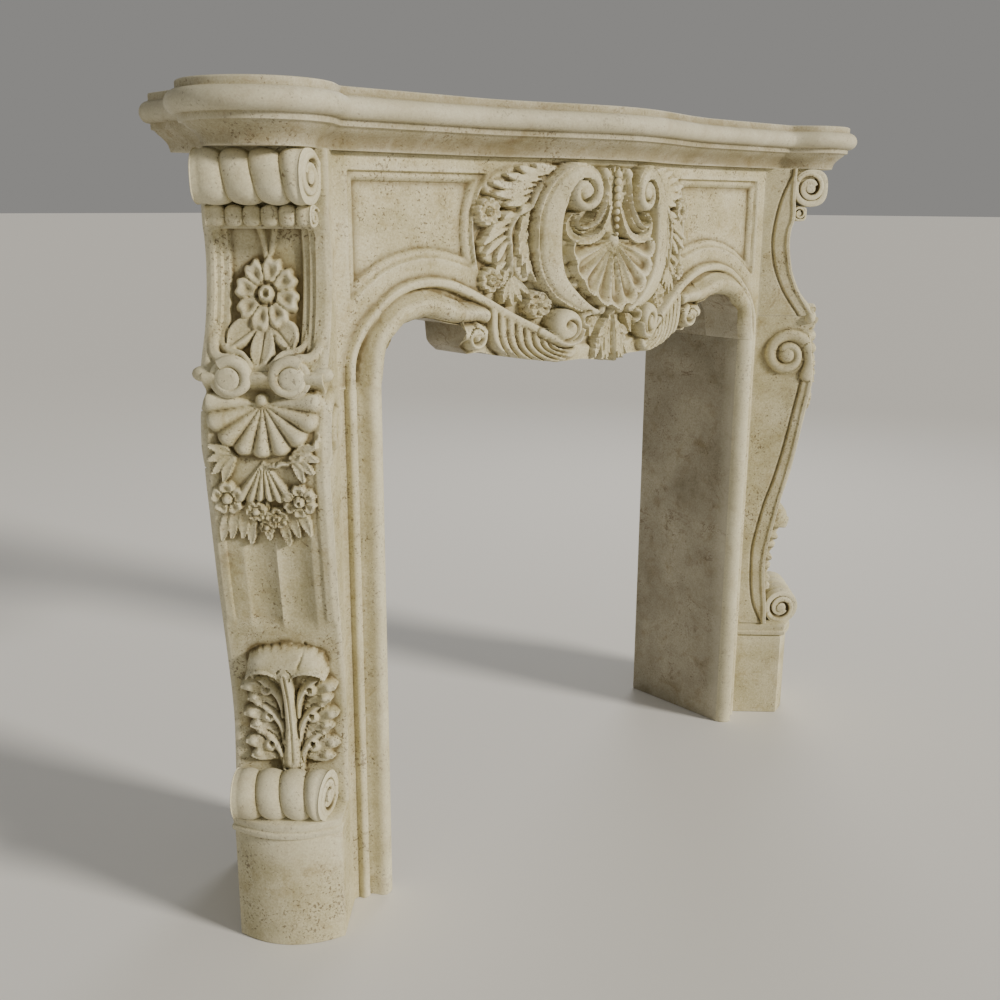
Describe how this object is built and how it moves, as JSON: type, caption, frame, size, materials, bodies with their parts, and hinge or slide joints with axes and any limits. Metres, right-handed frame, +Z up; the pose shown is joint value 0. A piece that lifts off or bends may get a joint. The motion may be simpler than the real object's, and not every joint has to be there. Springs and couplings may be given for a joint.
{
  "type": "fireplace mantel",
  "caption": "Carved stone fireplace mantel with a serpentine moulded shelf, arched frieze with shell cartouche, and scroll consoles turned outwards.",
  "frame": {"origin": "middle of the overall box on the floor, under its underside", "axes": "+X to the right along the shelf, +Y back to the wall, +Z up"},
  "size_m": [1.4952, 0.35, 1.252],
  "materials": {
    "travertine_shelf": "honed",
    "travertine_carved": "carved, matt, with fine pits",
    "travertine_jamb": "honed, with fine pits"
  },
  "bodies": {
    "root": {"shelf": "travertine_shelf", "frieze": "travertine_carved", "left_corbel": "travertine_carved", "right_corbel": "travertine_carved", "left_jamb": "travertine_jamb", "right_jamb": "travertine_jamb"}
  },
  "joints": []
}
